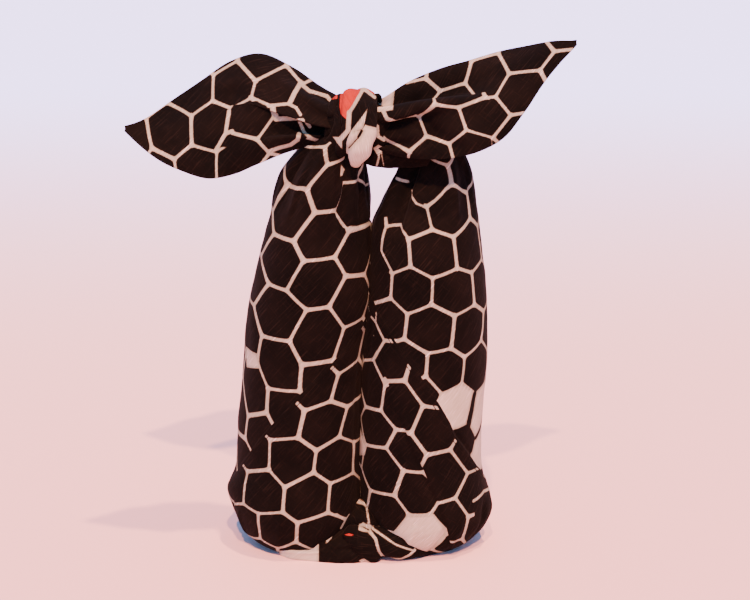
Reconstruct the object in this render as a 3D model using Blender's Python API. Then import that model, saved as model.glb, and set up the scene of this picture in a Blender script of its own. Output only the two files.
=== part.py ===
"""A furoshiki: one square cloth rolled round two upright bottles and tied on top, with its two corners
left as leaf-shaped ears.

Metres, +Z up. The origin is on the floor, midway between the two wound sleeves, and the front is -Y.
Tables are in millimetres and degrees. The cloth is one solid: two filled sleeves, the folds bunched
between their bases, the strands of the square knot, and two thin pleated ears.
"""

import bmesh
import bpy
import numpy as np

MM = 0.001

# Driving dimensions, in millimetres, and how finely each form is divided.
EAR_THICKNESS = 2.0
STRAND_END = 2.0  # how far a strand's closing ring stands beyond its last ellipse
STRAND_END_SHARE = 0.6  # the closing ring's size, as a share of that ellipse
FLOOR_REACH = 140.0
FLOOR_DEPTH = 30.0
SLEEVE_SIDES = 44
SLEEVE_RINGS = 30
END_RINGS_SHARE = 0.38  # how strongly a sleeve's rings crowd towards its rounded ends
STRAND_SIDES = 14
STRAND_RINGS = 12
EAR_STATIONS = 20
EAR_LINES = 17
CLOTH_COLOUR = (0.021, 0.009, 0.007, 1.0)
CLOTH_ROUGHNESS = 0.9

SLEEVE_COLUMNS = ("height", "centre_x", "centre_y", "half_width", "half_depth")
LEFT_SLEEVE = (
    (-4, -40, 0, 22.0, 22.0),
    (1, -40.5, 0, 28.5, 28.5),
    (7, -41.5, 0, 35.0, 34.5),
    (18, -42.5, 0, 41.0, 39.5),
    (36, -43, 0, 44.5, 42.0),
    (58, -41.5, 0, 41.8, 41.5),
    (86, -40.4, 0, 41.7, 41.2),
    (109, -38.6, 0, 40.4, 40.6),
    (131, -37.2, 0, 39.8, 40.0),
    (175, -32, 0, 39.4, 39.0),
    (207, -27.5, 0, 35.8, 36.0),
    (234, -24.5, -1, 31.5, 31.0),
    (256, -22, -3, 27.0, 26.0),
    (272, -17, -5, 21.0, 20.0),
    (284, -10, -7, 13.0, 13.0),
)
RIGHT_SLEEVE = (
    (-4, 42, 0, 22.0, 22.0),
    (1, 42.5, 0, 29.0, 28.5),
    (7, 43.5, 0, 36.0, 34.5),
    (18, 44, 0, 42.0, 39.5),
    (30, 44, 0, 43.5, 41.5),
    (52, 41.5, 0, 41.8, 41.5),
    (100, 41.5, 0, 41.4, 41.0),
    (131, 43, 0, 41.8, 40.5),
    (175, 44.5, 0, 39.4, 39.0),
    (207, 43, 0, 36.4, 36.0),
    (223, 43, -1, 34.4, 33.0),
    (236, 45.5, -1, 30.0, 30.0),
    (247, 47.5, -2, 26.5, 26.0),
    (259, 49.5, -3, 22.0, 22.0),
    (270, 48, -4, 18.0, 17.0),
    (280, 44, -5, 12.0, 11.0),
)

# A fold runs up a sleeve between two heights, at an angle round it (270 is the front). A positive rise
# is a lobe and a negative one a valley. Above GATHERED_HEIGHT a fold grows up into the gathers, and
# below it a fold swells in its middle and dies out at both ends.
GATHERED_HEIGHT = 200
GATHER_GROWTH = 2.2  # how quickly a fold of the gathers reaches its full rise
SWELL = 4  # scales the swell's formula to 1 in its middle
FOLD_COLUMNS = ("low_height", "high_height", "low_angle", "high_angle", "spread_angle", "rise")
LEFT_FOLDS = (
    (190, 290, 285, 302, 11, -3.5),
    (200, 290, 252, 262, 12, 1.8),
    (215, 290, 215, 225, 12, -3.0),
    (200, 290, 150, 160, 13, -3.0),
    (205, 290, 92, 80, 14, -3.5),
    (195, 290, 30, 38, 13, -3.0),
    (20, 56, 150, 215, 20, 2.2),
)
RIGHT_FOLDS = (
    (196, 280, 236, 228, 9, -5.0),
    (200, 280, 214, 200, 12, 4.0),
    (205, 280, 282, 270, 12, -2.0),
    (215, 280, 325, 315, 13, -2.5),
    (205, 280, 92, 100, 13, -3.5),
    (200, 280, 145, 138, 13, -3.0),
    (205, 280, 40, 44, 13, -3.0),
    (12, 40, 322, 356, 14, 2.4),
)

# A strand is a flattened tube along a line. Its section's broad side is turned about the line.
STRAND_COLUMNS = ("x", "y", "z", "half_breadth", "half_thickness")
STRANDS = {
    "front_bunch_left": {
        "broad_towards": (0, 0.35, 1),
        "rows": (
            (-54, -19, 3, 6, 5),
            (-40, -25, 4, 10, 7.5),
            (-24, -28, 5, 12, 8),
            (-6, -29, 8, 14, 8.5),
            (10, -27, 8, 12, 8),
        ),
    },
    "front_lobe": {
        "broad_towards": (0.8, 0.1, 0.7),
        "rows": (
            (-9, -29, 20, 5, 5),
            (-1, -34, 15, 8, 6),
            (7, -35, 8, 9, 6),
            (14, -33, 2, 8, 5),
        ),
    },
    "front_bunch_right": {
        "broad_towards": (0, 0.3, 1),
        "rows": (
            (5, -30, 16, 6, 6),
            (16, -33, 13, 9, 6.5),
            (28, -32, 10, 10, 7),
            (42, -26, 7, 8, 6),
            (54, -19, 4, 6, 5),
        ),
    },
    "back_bunch": {
        "broad_towards": (0, -0.4, 1),
        "rows": (
            (-46, 22, 3, 8, 7),
            (-24, 29, 6, 13, 8),
            (0, 31, 9, 15, 9),
            (24, 29, 6, 13, 8),
            (48, 22, 3, 8, 7),
        ),
    },
    "web_under": {
        "broad_towards": (0, 0, 1),
        "rows": (
            (0, -30, 6, 12, 20),
            (0, -12, 7, 20, 27),
            (0, 12, 7, 20, 27),
            (0, 30, 6, 12, 20),
        ),
    },
    "knot_core": {
        "broad_towards": (0, 0, 1),
        "rows": (
            (-20, -8, 289, 9, 9),
            (-11, -9, 286, 17, 16),
            (0, -9, 284.5, 19, 18),
            (11, -9, 286, 16, 16),
            (21, -8, 288, 9, 9),
        ),
    },
    "knot_wrap": {
        "broad_towards": (1, 0, 0.2),
        "rows": (
            (4, 2, 281, 7, 5),
            (6, 8, 290, 9, 5.5),
            (6, 4, 300, 10, 5.5),
            (2, -10, 304.5, 12.5, 5),
            (1.5, -22, 299, 12, 6),
            (1, -30, 286, 11, 7),
            (0, -28, 272, 8.5, 7),
            (-1, -17, 266, 6.5, 6),
            (-1, -6, 270, 5, 5),
        ),
    },
    "knot_shoulder": {
        "broad_towards": (0.8, 0, 0.6),
        "rows": (
            (-19, -8, 291, 7, 6),
            (-13, -13, 298, 8.5, 7),
            (-6, -19, 297, 8.5, 7),
            (-5, -22, 288, 7, 6.5),
            (-10, -20, 279.5, 6.5, 6.5),
            (-18, -15, 273, 5.5, 6),
        ),
    },
    "right_band": {
        "broad_towards": (0, 0, 1),
        "rows": (
            (-3, -9, 274, 8, 8),
            (10, -10, 271, 11, 8.5),
            (22, -9, 271, 11.5, 9),
            (34, -7, 271, 11, 10),
            (46, -5, 268, 9, 9),
        ),
    },
}

# An ear is a leaf between two edges that run from the knot to the tip. Its cup brings both edges back
# and its lean takes the upper edge back and the lower edge forward.
EAR_COLUMNS = ("lower_x", "lower_z", "upper_x", "upper_z", "depth_y", "cup", "lean")
LEFT_EAR = (
    (-8, 278.3, -6, 299.7, -13, 10, 4),
    (-26.7, 274.1, -24.3, 309.2, -16, 13, 14),
    (-45.2, 270.2, -42.8, 321.1, -17, 13, 27),
    (-62.4, 264.3, -63.5, 328.7, -17, 12, 39),
    (-77.9, 257.8, -82.1, 323.9, -16, 10, 43),
    (-94.8, 255.4, -100.2, 312.4, -15, 8, 38),
    (-113.2, 260.4, -117.9, 300.8, -14, 5, 27),
    (-130.9, 269.6, -134.1, 290.5, -13, 2, 14),
    (-147.1, 283.6, -147.3, 285.9, -12, 0, 1.5),
)
RIGHT_EAR = (
    (4, 274.3, 2, 299.7, -16, 7, 4),
    (19.9, 269.1, 16, 305.1, -21, 8, 14),
    (37.6, 267.7, 32.3, 313.5, -23, 8, 26),
    (57.1, 269.1, 52.8, 321.2, -23, 8, 34),
    (75.5, 272.9, 71.2, 325.5, -20, 8, 36),
    (90.5, 280.6, 89.4, 330.4, -16, 7, 34),
    (102.7, 295.3, 105.3, 334.1, -13, 5, 26),
    (117.7, 316.8, 120.8, 338.1, -12, 2, 14),
    (135.4, 337.1, 135.6, 339.4, -11, 0, 1.5),
)
# A pleat follows a line across the leaf, given as its place between the lower edge (0) and the upper
# edge (1) at the root and where it dies out, which is its reach along the leaf. A positive depth brings
# the part below the line forward, over the part above it.
PLEAT_COLUMNS = ("root_place", "end_place", "reach", "spread", "depth", "overlap")
LEFT_PLEATS = (
    (0.30, 0.66, 0.64, 0.15, -12.0, 0.12),
    (0.72, 0.86, 0.36, 0.11, 5.0, 0.03),
    (0.10, 0.26, 0.50, 0.11, 7.0, 0.04),
)
RIGHT_PLEATS = (
    (0.92, 0.58, 0.66, 0.15, 12.0, 0.11),
    (0.62, 0.50, 0.46, 0.11, -8.0, 0.05),
    (0.10, 0.16, 0.34, 0.12, 5.0, 0.03),
)
PLEAT_BEND = 0.6  # how early a pleat's line turns towards its end place
PLEAT_KEEPS = 0.4  # the share of its reach over which a pleat keeps its full depth
SWING_PEAK = 0.43  # the highest value of the swing's formula


def columns(rows, names):
    """The rows of a table as one array for each named column."""
    return dict(zip(names, np.array(rows, dtype=float).T))


def through(knots, values, at):
    """A smooth curve through values at knots: cubic pieces that share their slopes."""
    slopes = np.gradient(values, knots)
    cell = np.clip(np.searchsorted(knots, at, side="right") - 1, 0, len(knots) - 2)
    span = knots[cell + 1] - knots[cell]
    part = (at - knots[cell]) / span
    rest = 1 - part
    return (
        values[cell] * (1 + 2 * part) * rest**2
        + slopes[cell] * span * part * rest**2
        + values[cell + 1] * (1 + 2 * rest) * part**2
        - slopes[cell + 1] * span * rest * part**2
    )


def fade(value):
    """0 below 0, 1 above 1 and a smooth step between."""
    part = np.clip(value, 0, 1)
    return part * part * (3 - 2 * part)


def make_object(name, points, faces):
    """An object from points in millimetres and faces given by their corners."""
    mesh = bpy.data.meshes.new(name)
    mesh.from_pydata((np.asarray(points) * MM).tolist(), [], faces)
    mesh.validate()
    mesh.update()
    made = bpy.data.objects.new(name, mesh)
    bpy.context.collection.objects.link(made)
    return made


def ring_faces(rings, sides):
    """The quads of a tube of rings, and a flat cap at each end, all facing out."""
    faces = []
    for ring in range(rings - 1):
        for side in range(sides):
            after = (side + 1) % sides
            low, high = ring * sides, (ring + 1) * sides
            faces.append((low + side, low + after, high + after, high + side))
    faces.append(tuple(range(sides))[::-1])
    faces.append(tuple((rings - 1) * sides + side for side in range(sides)))
    return faces


def sleeve(name, rows, folds):
    """A wound sleeve: ellipses stacked up its height, with folds pushed out or in along its radius."""
    table = columns(rows, SLEEVE_COLUMNS)
    low, high = table["height"][0], table["height"][-1]
    # More rings at the rounded foot and at the gathered top than along the straight middle.
    even = np.linspace(-1, 1, SLEEVE_RINGS)
    crowded = even + END_RINGS_SHARE * (np.sin(even * np.pi / 2) - even)
    height = low + (high - low) * (1 + crowded) / 2
    angle = np.linspace(0, 2 * np.pi, SLEEVE_SIDES, endpoint=False)
    centre_x, centre_y, half_width, half_depth = (
        through(table["height"], table[name], height)[:, None] for name in SLEEVE_COLUMNS[1:]
    )
    rise = np.zeros((len(height), len(angle)))
    for row in folds:
        fold = dict(zip(FOLD_COLUMNS, row))
        along = (height - fold["low_height"]) / (fold["high_height"] - fold["low_height"])
        middle = fold["low_angle"] + (fold["high_angle"] - fold["low_angle"]) * np.clip(along, 0, 1)
        away = (np.degrees(angle)[None, :] - middle[:, None] + 180) % 360 - 180
        if fold["high_height"] > GATHERED_HEIGHT:
            grown = fade(along * GATHER_GROWTH)
        else:
            grown = np.clip(SWELL * along * (1 - along), 0, 1)
        rise += fold["rise"] * grown[:, None] * np.exp(-((away / fold["spread_angle"]) ** 2))
    x = centre_x + (half_width + rise) * np.cos(angle)
    y = centre_y + (half_depth + rise) * np.sin(angle)
    z = height[:, None] + 0 * angle
    points = np.stack([x, y, z], axis=-1).reshape(-1, 3)
    return make_object(name, points, ring_faces(len(height), len(angle)))


def strand(name, broad_towards, rows):
    """A flattened tube: ellipses carried along a smooth line, closed by a narrower ring at each end."""
    table = np.array(rows, dtype=float)
    knots = np.arange(len(rows), dtype=float)
    at = np.linspace(0, knots[-1], STRAND_RINGS)
    x, y, z, breadth, thickness = (through(knots, column, at) for column in table.T)
    line = np.stack([x, y, z], axis=-1)
    ahead = np.gradient(line, axis=0)
    ahead /= np.linalg.norm(ahead, axis=1, keepdims=True)
    flat = np.cross(ahead, np.array(broad_towards, dtype=float))
    flat /= np.linalg.norm(flat, axis=1, keepdims=True)
    broad = np.cross(flat, ahead)
    angle = np.linspace(0, 2 * np.pi, STRAND_SIDES, endpoint=False)
    ring = (
        line[:, None]
        + (breadth[:, None] * np.cos(angle))[..., None] * broad[:, None]
        + (thickness[:, None] * np.sin(angle))[..., None] * -flat[:, None]
    )
    first, last = line[:1, None], line[-1:, None]
    start = first - STRAND_END * ahead[:1, None] + STRAND_END_SHARE * (ring[:1] - first)
    end = last + STRAND_END * ahead[-1:, None] + STRAND_END_SHARE * (ring[-1:] - last)
    rings = np.concatenate([start, ring, end])
    return make_object(name, rings.reshape(-1, 3), ring_faces(len(rings), STRAND_SIDES))


def ear(name, rows, pleats):
    """A thin leaf: lines between its two edges, cupped and pleated, given a thickness both ways."""
    table = columns(rows, EAR_COLUMNS)
    knots = np.linspace(0, 1, len(rows))
    along = np.linspace(0, 1, EAR_STATIONS)
    across = np.linspace(0, 1, EAR_LINES)[None, :]
    lower_x, lower_z, upper_x, upper_z, depth_y, cup, lean = (
        through(knots, table[name], along)[:, None] for name in EAR_COLUMNS
    )
    place = across + 0 * along[:, None]
    depth = depth_y + cup * (2 * across - 1) ** 2 + lean * (across - 0.5)
    for row in pleats:
        pleat = dict(zip(PLEAT_COLUMNS, row))
        gone = np.clip(along / pleat["reach"], 0, 1)
        middle = pleat["root_place"] + (pleat["end_place"] - pleat["root_place"]) * gone**PLEAT_BEND
        strength = (1 - fade((gone - PLEAT_KEEPS) / (1 - PLEAT_KEEPS)))[:, None]
        away = (across - middle[:, None]) / pleat["spread"]
        swing = away * np.exp(-(away**2)) / SWING_PEAK
        depth = depth + pleat["depth"] / 2 * strength * swing
        place = place - pleat["overlap"] * strength * swing
    x = lower_x + (upper_x - lower_x) * place
    z = lower_z + (upper_z - lower_z) * place
    middle = np.stack([x, depth, z], axis=-1)
    normal = np.cross(np.gradient(middle, axis=0), np.gradient(middle, axis=1))
    normal /= np.linalg.norm(normal, axis=-1, keepdims=True)
    front = middle - normal * EAR_THICKNESS / 2
    back = middle + normal * EAR_THICKNESS / 2
    points = np.concatenate([front.reshape(-1, 3), back.reshape(-1, 3)])
    lines, count = EAR_LINES, EAR_STATIONS * EAR_LINES
    faces = []
    for station in range(EAR_STATIONS - 1):
        for line in range(lines - 1):
            corner = station * lines + line
            quad = (corner, corner + 1, corner + lines + 1, corner + lines)
            faces.append(quad)
            faces.append(tuple(count + index for index in quad[::-1]))
    rim = (
        list(range(lines))
        + [station * lines + lines - 1 for station in range(1, EAR_STATIONS)]
        + [count - 2 - line for line in range(lines - 1)]
        + [station * lines for station in range(EAR_STATIONS - 2, 0, -1)]
    )
    for here, after in zip(rim, rim[1:] + rim[:1]):
        faces.append((after, here, here + count, after + count))
    return make_object(name, points, faces)


def face_out(made):
    """Turns a closed mesh's faces outwards."""
    shape = bmesh.new()
    shape.from_mesh(made.data)
    bmesh.ops.recalc_face_normals(shape, faces=shape.faces)
    shape.to_mesh(made.data)
    shape.free()


def floor_block():
    """The block below the floor that the forms are cut flat against."""
    corners = [(x, y, z) for z in (-FLOOR_DEPTH, 0) for x, y in ((-1, -1), (1, -1), (1, 1), (-1, 1))]
    points = [(x * FLOOR_REACH, y * FLOOR_REACH, z) for x, y, z in corners]
    sides = [(i, (i + 1) % 4, 4 + (i + 1) % 4, 4 + i) for i in range(4)]
    return make_object("floor_block", points, sides + [(3, 2, 1, 0), (4, 5, 6, 7)])


def combine(cloth, other, operation):
    """Adds or cuts another form, which is then only a guide."""
    step = cloth.modifiers.new(other.name, "BOOLEAN")
    step.operation = operation
    step.solver = "MANIFOLD"  # the exact solver leaves slivers of no volume where strands graze each other
    step.object = other
    other.hide_render = True
    other.display_type = "WIRE"


def cloth_material():
    material = bpy.data.materials.new("cotton")
    material.use_nodes = True
    shader = material.node_tree.nodes["Principled BSDF"]
    shader.inputs["Base Color"].default_value = CLOTH_COLOUR
    shader.inputs["Roughness"].default_value = CLOTH_ROUGHNESS
    shader.inputs["Metallic"].default_value = 0.0
    return material


def build():
    for old in list(bpy.data.objects):
        bpy.data.objects.remove(old)
    cloth = sleeve("furoshiki_cloth", LEFT_SLEEVE, LEFT_FOLDS)
    others = [sleeve("right_sleeve", RIGHT_SLEEVE, RIGHT_FOLDS)]
    others += [strand(name, **shape) for name, shape in STRANDS.items()]
    others += [ear("left_ear", LEFT_EAR, LEFT_PLEATS), ear("right_ear", RIGHT_EAR, RIGHT_PLEATS)]
    for made in [cloth] + others:
        face_out(made)
    for other in others:
        combine(cloth, other, "UNION")
    combine(cloth, floor_block(), "DIFFERENCE")
    cloth.data.materials.append(cloth_material())
    cloth.data.shade_smooth()


build()
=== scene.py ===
import bpy
import mathutils
import numpy as np
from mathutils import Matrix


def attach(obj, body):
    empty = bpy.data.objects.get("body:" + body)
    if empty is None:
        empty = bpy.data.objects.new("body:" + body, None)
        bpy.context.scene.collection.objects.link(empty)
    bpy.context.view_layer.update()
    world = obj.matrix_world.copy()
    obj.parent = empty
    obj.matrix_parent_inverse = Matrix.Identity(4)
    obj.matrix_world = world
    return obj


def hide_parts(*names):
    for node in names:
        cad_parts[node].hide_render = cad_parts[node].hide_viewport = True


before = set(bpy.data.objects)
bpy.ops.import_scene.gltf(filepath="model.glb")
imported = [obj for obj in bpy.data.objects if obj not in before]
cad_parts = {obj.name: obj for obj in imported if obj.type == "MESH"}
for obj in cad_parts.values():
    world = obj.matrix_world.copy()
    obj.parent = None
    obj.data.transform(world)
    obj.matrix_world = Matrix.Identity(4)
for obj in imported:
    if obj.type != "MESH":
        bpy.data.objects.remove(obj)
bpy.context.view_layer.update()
mm = 0.001
farAway = 1e3  # mm, past anything here
clothNode = "furoshiki_cloth"
print("frame loaded")


def smoothCurve(knots, values, at):
    # cubic pieces through the values, which share their slopes at the knots
    slopes = np.gradient(values, knots)
    cell = np.clip(np.searchsorted(knots, at, side="right") - 1, 0, len(knots) - 2)
    span = knots[cell + 1] - knots[cell]
    part = (at - knots[cell]) / span
    rest = 1 - part
    return (
        values[cell] * (1 + 2 * part) * rest**2
        + slopes[cell] * span * part * rest**2
        + values[cell + 1] * (1 + 2 * rest) * part**2
        - slopes[cell + 1] * span * rest * part**2
    )


def columns(rows, names):
    return dict(zip(names, np.array(rows, dtype=float).T))


def fade(value):
    # 0 below 0, 1 above 1 and a smooth step between
    part = np.clip(value, 0, 1)
    return part * part * (3 - 2 * part)


def bell(value):
    # 1 at 0 and nearly 0 past 2 on either side
    return np.exp(-(value**2))


def arcLengths(points, axis):
    # distance along the points of a grid from its first row or column
    steps = np.linalg.norm(np.diff(points, axis=axis), axis=-1)
    start = np.zeros_like(np.take(steps, [0], axis=axis))
    return np.concatenate([start, np.cumsum(steps, axis=axis)], axis=axis)


ripples = {"waves": 9, "shortest": 0.7, "longest": 1.6, "height": 0.8}


def unevenness(points, size, seed):
    # sine waves of about this size in seeded directions, added up to about -1 to 1
    chance = np.random.default_rng(seed)
    total = np.zeros(points.shape[:-1])
    for _ in range(ripples["waves"]):
        direction = chance.normal(size=3)
        direction /= np.linalg.norm(direction)
        length = size * chance.uniform(ripples["shortest"], ripples["longest"])
        total += np.sin(points @ direction * (2 * np.pi / length) + chance.uniform(0, 2 * np.pi))
    return total / np.sqrt(ripples["waves"]) * ripples["height"]


def insidePatch(across, up, corners):
    # how far inside a convex patch, in millimetres: the least distance to its edges' lines
    corners = np.array(corners, dtype=float)
    middle = corners.mean(axis=0)
    depth = np.full(np.shape(across), farAway)
    for first, second in zip(corners, np.roll(corners, -1, axis=0)):
        edge = (second - first) / np.linalg.norm(second - first)
        normal = np.array([-edge[1], edge[0]])
        normal *= np.sign(normal @ (middle - first))
        depth = np.minimum(depth, (across - first[0]) * normal[0] + (up - first[1]) * normal[1])
    return depth


def lineGaps(across, up, line):
    # distance to a line of corners, and 1 on its left as it runs or -1 on its right
    line = np.array(line, dtype=float)
    nearest = np.full(np.shape(across), farAway)
    side = np.zeros(np.shape(across))
    for first, second in zip(line[:-1], line[1:]):
        step = second - first
        x, y = across - first[0], up - first[1]
        part = np.clip((x * step[0] + y * step[1]) / (step @ step), 0, 1)
        gap = np.hypot(x - part * step[0], y - part * step[1])
        side = np.where(gap < nearest, np.sign(step[0] * y - step[1] * x), side)
        nearest = np.minimum(nearest, gap)
    return nearest, side


def besideLine(around, up, line):
    # distance in mm to a line, positive on its left as it runs
    gap, side = lineGaps(around, up, line)
    return gap * side


def printed(depth, across, up, marks):
    # The lines' depth with a piece's marks added in turn. A mark is its tone, the width of a
    # stroke in mm or 0 for a patch, and its corners.
    for tone, width, *corners in marks:
        if width:
            mark = width / 2 - lineGaps(across, up, corners)[0]
        else:
            mark = insidePatch(across, up, corners)
        depth = np.minimum(depth, -mark) if tone == "ink" else np.maximum(depth, mark)
    return depth


# lengths are in cells' widths
netDrawing = {
    "cornerStray": 0.095,  # how far the drawn corners stray
    "halfLine": 0.0345,
    "lineVariety": 0.22,
    "flare": 0.5,  # how many times wider a line grows at its corners
    "flarePower": 6,
    "repeat": 24,  # cells after which the strays come again
    "paleMargin": 0.02,  # how far a pale cell reaches over the lines round it
}
rowStep = np.sqrt(3) / 2
cornerReach = 1 / np.sqrt(3)


def netCells(flat, net):
    # the cloth's coordinates in cells of the net: turned, moved, and bent a little as cloth is
    x = (flat[..., 0] - net["middle"][0]) / net["width"]
    y = (flat[..., 1] - net["middle"][1]) / net["width"]
    terms = (x, y, x * x, x * y, y * y)
    bentX = x + sum(term * bend[0] for term, bend in zip(terms, net["bends"]))
    bentY = y + sum(term * bend[1] for term, bend in zip(terms, net["bends"]))
    turn = np.radians(net["turn"])
    across = bentX * np.cos(turn) - bentY * np.sin(turn) + net["shift"][0]
    up = bentX * np.sin(turn) + bentY * np.cos(turn) + net["shift"][1]
    return across, up


def netField(flat, net):
    # Depth in mm inside the lines of a honeycomb drawn by hand. Every corner is the top or the
    # bottom of one cell and strays a little. Each line joins a top to one of three bottoms, and
    # the field is the most of half its width less the distance from its line.
    across, up = netCells(flat, net)
    chance = np.random.default_rng(net["seed"])
    size = netDrawing["repeat"]
    stray = chance.uniform(-1, 1, (2, size, size, 2)) * netDrawing["cornerStray"]
    weight = 1 + chance.uniform(-1, 1, (3, size, size)) * netDrawing["lineVariety"]

    def corner(kind, column, row):
        moved = stray[kind, row % size, column % size]
        x = column + 0.5 * (row % 2) + moved[..., 0]
        y = row * rowStep + (cornerReach if kind == 0 else -cornerReach) + moved[..., 1]
        return x, y

    def lineDepth(column, row, way):
        # from the top of a cell to the bottom of the next one right, left or straight above
        startX, startY = corner(0, column, row)
        odd = row % 2
        ends = ((column + odd, row + 1), (column + odd - 1, row + 1), (column, row + 2))
        endX, endY = corner(1, *ends[way])
        stepX, stepY = endX - startX, endY - startY
        part = ((across - startX) * stepX + (up - startY) * stepY) / (stepX**2 + stepY**2)
        inside = np.clip(part, 0, 1)
        gap = np.hypot(across - startX - inside * stepX, up - startY - inside * stepY)
        half = netDrawing["halfLine"] * weight[way, row % size, column % size]
        flare = netDrawing["flare"] * (2 * inside - 1) ** netDrawing["flarePower"]
        return half * (1 + flare) - gap

    # the nearest cell centre of the straight rows and of the rows between them
    evenRow = np.round(up / (2 * rowStep)) * 2
    oddRow = np.round((up / rowStep - 1) / 2) * 2 + 1
    evenColumn, oddColumn = np.round(across), np.round(across - 0.5)
    evenGap = (across - evenColumn) ** 2 + (up - evenRow * rowStep) ** 2
    oddGap = (across - oddColumn - 0.5) ** 2 + (up - oddRow * rowStep) ** 2
    row = np.where(evenGap < oddGap, evenRow, oddRow).astype(int)
    column = np.where(evenGap < oddGap, evenColumn, oddColumn).astype(int)
    odd = row % 2
    depth = np.full(np.shape(across), -farAway)
    for aside, below in ((0, 0), (1, 0), (-1, 0), (odd, 1), (odd - 1, 1), (0, 2)):
        for way in (0, 1, 2):
            depth = np.maximum(depth, lineDepth(column + aside, row - below, way))

    def cellCorners(x, y):
        # round the cell from its top
        right, left = y % 2, y % 2 - 1
        around = ((0, 0, 0), (1, right, 1), (0, right, -1), (1, 0, 0), (0, left, -1), (1, left, 1))
        return [corner(kind, x + aside, y + above) for kind, aside, above in around]

    for cell in net.get("paleCells", ()):
        pale = insidePatch(across, up, cellCorners(*cell)) + netDrawing["paleMargin"]
        depth = np.maximum(depth, pale)
    # dark lines part two pale cells that meet: the cell, its side and half the line's width
    for cell, side, halfWidth in net.get("darkSides", ()):
        ends = cellCorners(*cell)
        gap, _ = lineGaps(across, up, (ends[side], ends[(side + 1) % 6]))
        depth = np.minimum(depth, gap - halfWidth)
    return depth * net["width"]


def netFields(values, flat):
    # each of a piece's nets with its marks drawn over it
    return {
        f"net{number}": printed(netField(flat, net), flat[..., 0], flat[..., 1], values["marks"])
        for number, net in enumerate(values["nets"])
    }


def addObject(name, data):
    made = bpy.data.objects.new(name, data)
    bpy.context.collection.objects.link(made)
    return made


def clothMesh(name, points, cloth, fields, tube=False):
    # A grid of points (rows, columns, 3) as an object. A tube closes round its columns and is
    # capped at both ends. cloth holds the flat cloth's coordinates, one column more on a tube.
    rows, count = points.shape[:2]
    index = np.arange(rows * count).reshape(rows, count)
    insideOut = False
    if tube:
        index = np.concatenate([index, index[:, :1]], axis=1)
        closed = points.reshape(-1, 3)[index]
        volume = np.cross(closed[:-1, :-1], closed[:-1, 1:]) * closed[1:, 1:]
        insideOut = volume.sum() < 0

    def faceCorners(grid):
        # what the grid holds at the corners of each quad in turn, and of the caps
        quads = np.stack([grid[:-1, :-1], grid[:-1, 1:], grid[1:, 1:], grid[1:, :-1]], axis=2)
        caps = [grid[0, :-1][::-1], grid[-1, :-1]] if tube else []
        if insideOut:
            quads, caps = quads[:, :, ::-1], [cap[::-1] for cap in caps]
        return np.concatenate([quads.reshape(-1, *grid.shape[2:]), *caps])

    corners = faceCorners(index)
    flats = faceCorners(cloth)
    sizes = [4] * ((rows - 1) * (index.shape[1] - 1)) + ([count, count] if tube else [])
    starts = np.cumsum([0] + sizes[:-1])
    mesh = bpy.data.meshes.new(name)
    mesh.vertices.add(rows * count)
    mesh.vertices.foreach_set("co", (points * mm).reshape(-1).astype(np.float32))
    mesh.loops.add(len(corners))
    mesh.loops.foreach_set("vertex_index", corners.astype(np.int32))
    mesh.polygons.add(len(sizes))
    mesh.polygons.foreach_set("loop_start", starts.astype(np.int32))
    mesh.update(calc_edges=True)
    mesh.validate()
    layer = mesh.uv_layers.new(name="cloth")
    layer.data.foreach_set("uv", (flats * mm).reshape(-1).astype(np.float32))
    for field, values in fields.items():
        made = mesh.attributes.new(field, "FLOAT", "POINT")
        made.data.foreach_set("value", values.reshape(-1).astype(np.float32))
    mesh.shade_smooth()
    return addObject(name, mesh)


def finishPiece(piece, material):
    piece.data.materials.append(material)
    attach(piece, "root")
    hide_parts(clothNode)


class Wire:
    # a node's output, which adds Math nodes of its own when it is reckoned with

    def __init__(self, tree, socket=None):
        self.tree, self.socket = tree, socket

    def node(self, kind, settings=None, inputs=None, output=0):
        made = self.tree.nodes.new(kind)
        for setting, value in (settings or {}).items():
            setattr(made, setting, value)
        for key, value in (inputs or {}).items():
            if isinstance(value, Wire):
                value.feed(made, key)
            else:
                made.inputs[key].default_value = value
        return Wire(self.tree, made.outputs[output])

    def feed(self, node, key):
        self.tree.links.new(self.socket, node.inputs[key])

    def reckon(self, operation, first, second):
        return self.node("ShaderNodeMath", {"operation": operation}, {0: first, 1: second})

    def __add__(self, other):
        return self.reckon("ADD", self, other)

    def __sub__(self, other):
        return self.reckon("SUBTRACT", self, other)

    def __rsub__(self, other):
        return self.reckon("SUBTRACT", other, self)

    def __mul__(self, other):
        return self.reckon("MULTIPLY", self, other)

    __radd__ = __add__
    __rmul__ = __mul__

    def step(self, low, high):
        # 0 below low, 1 above high and a smooth step between
        settings = {"interpolation_type": "SMOOTHSTEP"}
        return self.node("ShaderNodeMapRange", settings, {0: self, 1: low, 2: high})

    def mixColours(self, first, second):
        return self.node("ShaderNodeMix", {"data_type": "RGBA"}, {0: self, 6: first, 7: second}, 2)

    def noise(self, vector, scale):
        inputs = {"Vector": vector, "Scale": scale, "Detail": 2.0}
        return self.node("ShaderNodeTexNoise", None, inputs)


def newMaterial(name):
    material = bpy.data.materials.new(name)
    material.use_nodes = True
    tree = material.node_tree
    return material, tree.nodes["Principled BSDF"], Wire(tree)


def finish(shader, constants):
    for socket, value in constants.items():
        shader.inputs[socket].default_value = value


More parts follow.
